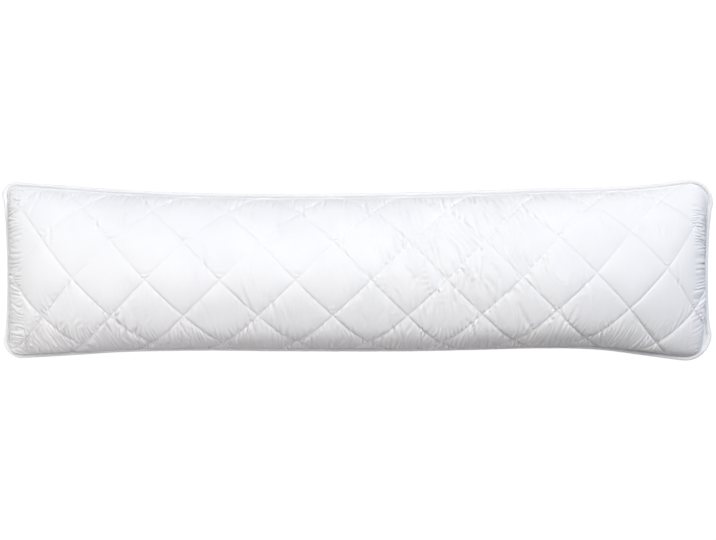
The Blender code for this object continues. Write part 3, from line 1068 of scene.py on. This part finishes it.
def woven_cotton(name, colour, uv_map, length, width, roughness, turned=0.0):
    """Plain weave on a piece's own UV map, whose sides are length and width metres long."""
    cotton = Finish(name, colour, roughness, SHEEN)
    flat = cotton.add("ShaderNodeUVMap", {"uv_map": uv_map})
    flat = cotton.add("ShaderNodeMapping", {"vector_type": "POINT"}, {
        "Vector": flat, "Scale": (length, width, 1.0), "Rotation": (0.0, 0.0, turned)})
    axes = cotton.add("ShaderNodeSeparateXYZ", None, {"Vector": flat})
    warp = (axes.axis(0) * (math.pi / THREAD_PITCH)).wave()
    weft = (axes.axis(1) * (math.pi / THREAD_PITCH)).wave()
    weave = (warp * weft).size() ** 0.5
    drawn = [cotton.add("ShaderNodeMapping", None, {"Vector": flat, "Scale": scale}) for scale in SLUBS]
    first, second = (cotton.add("ShaderNodeTexNoise", None, {
        "Vector": where, "Scale": 1.0, "Detail": 2.0, "Roughness": 0.5}) for where in drawn)
    slubs = (first + second) * 0.5
    broad = cotton.add("ShaderNodeTexNoise", None, {"Vector": flat, "Scale": 9.0, "Detail": 3.0})
    shade = 0.90 + 0.05 * slubs + 0.10 * broad
    tint = cotton.add("ShaderNodeCombineXYZ", None, {"X": shade, "Y": shade, "Z": shade})
    cotton.set(cotton.shader, {
        "Base Color": cotton.add("ShaderNodeVectorMath", {"operation": "MULTIPLY"}, {0: tint, 1: colour}),
        "Roughness": roughness - 0.08 + 0.16 * slubs,
        "Normal": cotton.add("ShaderNodeBump", None, {
            "Height": weave + 1.5 * slubs, "Distance": WEAVE_DEPTH, "Strength": 0.6}),
    })
    return cotton.material


cloth_finish = woven_cotton("cotton_cloth", COTTON_WHITE, "flat_cloth", 2 * PANEL_U, 2 * PANEL_V, 0.82)
for panel in panels.values():
    panel.data.materials.append(cloth_finish)
strip_finish = woven_cotton("cotton_strip", PIPING_WHITE, "strip", seam_length,
                            math.pi * PIPING_DIAMETER, 0.85, math.radians(45.0))
piping_cord.data.materials.append(strip_finish)
print("finishes:", cloth_finish.name, strip_finish.name)

# %% [markdown]
# ## Thread finish
#
# Quilting thread is spun from two plies. At this size its twist shows only as a fine unevenness, which
# noise gives, and it is a little glossier than the cloth.

# %% Spun thread
spun = Finish("quilting_thread", (0.95, 0.95, 0.96), 0.55, 0.05)
where = spun.add("ShaderNodeTexCoord", None, None, out=3)
twist = spun.add("ShaderNodeTexNoise", None, {"Vector": where, "Scale": 2600.0, "Detail": 1.0})
spun.set(spun.shader, {
    "Roughness": 0.48 + 0.14 * twist,
    "Normal": spun.add("ShaderNodeBump", None, {"Height": twist, "Distance": 0.0001, "Strength": 0.5}),
})
for thread in threads.values():
    thread.data.materials.append(spun.material)

# %% [markdown]
# ## Studio
#
# White on white needs a direction in its light. The key light stands high beyond the corner at +X and
# +Y: it shines across the rows that fall towards +X, which stay crisp, and along the other rows, which
# go faint. The sky is a glowing wall at +Y and a weak bluish one at +X, and dark overhead, so the upper
# long side is bright and the lower one is shaded. Three weak lights lift that shade, a warm one from -Y,
# one from -X and one from above. The floor glows, so it stays white to the eye, but for the light that
# bounces it is dark, or it would wash the shade off the underside.

# %% Floor
FLOOR_SIZE = 12.0
FLOOR_GLOW = 0.95  # share of the floor's look that is glow and takes no shadow


def add_floor():
    mesh = bmesh.new()
    bmesh.ops.create_grid(mesh, x_segments=1, y_segments=1, size=FLOOR_SIZE / 2)
    data = mesh_data("floor", mesh)
    paper = Finish("pale_floor", (0.15, 0.15, 0.15), 0.95, 0.0)
    seen = paper.add("ShaderNodeLightPath")
    white = paper.add("ShaderNodeBsdfDiffuse", None, {"Color": (0.95, 0.95, 0.95, 1.0)})
    glow = paper.add("ShaderNodeEmission", None, {"Color": (1.0, 1.0, 1.0, 1.0), "Strength": 1.05})
    table = paper.add("ShaderNodeMixShader", None, {0: FLOOR_GLOW, 1: white, 2: glow})
    bounce = Signal(paper, paper.shader.outputs[0])
    both = paper.add("ShaderNodeMixShader", None, {0: seen, 1: bounce, 2: table})
    paper.set(paper.tree.nodes["Material Output"], {"Surface": both})
    data.materials.append(paper.material)
    add_object("floor", data)


# %% Lights
LIGHT_TARGET = Vector((0.0, 0.0, 0.1))


def add_light(name, place, size, power, colour=(1.0, 1.0, 1.0)):
    lamp = bpy.data.lights.new(name, "AREA")
    lamp.shape = "RECTANGLE"
    lamp.size, lamp.size_y = size
    lamp.energy = power
    lamp.color = colour
    light = add_object(name, lamp)
    light.location = place
    light.rotation_euler = (LIGHT_TARGET - Vector(place)).to_track_quat("-Z", "Y").to_euler()


add_floor()
add_light("far_light", (-0.3, 1.2, 2.4), (1.8, 1.4), 13.0)
add_light("key_light", (2.2, 2.2, 4.2), (1.6, 1.3), 127.0)
add_light("near_light", (-0.6, -1.6, 1.5), (1.6, 1.3), 21.5, (1.0, 0.945, 0.90))
add_light("left_light", (-2.6, 0.2, 0.8), (1.4, 1.2), 17.0)


# %% Sky
WALL_GLOWS = ((0.12, 0.18, 0.32), (1.05, 1.05, 1.07))  # at their middles, towards +X and +Y
BACKDROP = (1.0, 1.0, 1.0)  # what the eye sees past the floor's edge


def add_sky():
    """Two glowing walls, and a plain pale backdrop for the eye."""
    world = bpy.data.worlds.new("studio")
    world.use_nodes = True
    sky = Nodes(world.node_tree)
    direction = sky.add("ShaderNodeSeparateXYZ", None, {"Vector": sky.add("ShaderNodeTexCoord")})
    walls = [sky.add("ShaderNodeVectorMath", {"operation": "SCALE"}, {
        0: colour, "Scale": direction.axis(number).positive()})
        for number, colour in enumerate(WALL_GLOWS)]
    glow = sky.add("ShaderNodeVectorMath", {"operation": "ADD"}, dict(enumerate(walls)))
    seen = sky.add("ShaderNodeMix", {"data_type": "RGBA"}, {
        0: sky.add("ShaderNodeLightPath"), 6: glow, 7: (*BACKDROP, 1.0)}, out=2)
    sky.set(world.node_tree.nodes["Background"], {"Color": seen})
    bpy.context.scene.world = world


add_sky()
bpy.context.scene.view_settings.view_transform = "Standard"

# %% [markdown]
# ## Camera
#
# The camera looks almost straight down at the front, from a little beyond the upper long side and far
# enough away that the ends aren't stretched.

# %% Camera
CAMERA_DISTANCE = 3.2  # from the seam's plane
CAMERA_TILT = math.radians(3.0)
SEEN_WIDTH = 1.469  # of the seam's plane across the view
AIM = (0.0007, 0.0047)  # of the view's middle, from the formula's middle
camera = add_object("camera", bpy.data.cameras.new("camera"))
camera.data.lens = camera.data.sensor_width * CAMERA_DISTANCE / SEEN_WIDTH
camera.location = (AIM[0] + SHIFT[0],
                   AIM[1] + SHIFT[1] + CAMERA_DISTANCE * math.sin(CAMERA_TILT),
                   SEAM_HEIGHT + CAMERA_DISTANCE * math.cos(CAMERA_TILT))
camera.rotation_euler = (-CAMERA_TILT, 0.0, 0.0)
bpy.context.scene.camera = camera
print(f"lens {camera.data.lens:.1f} mm")
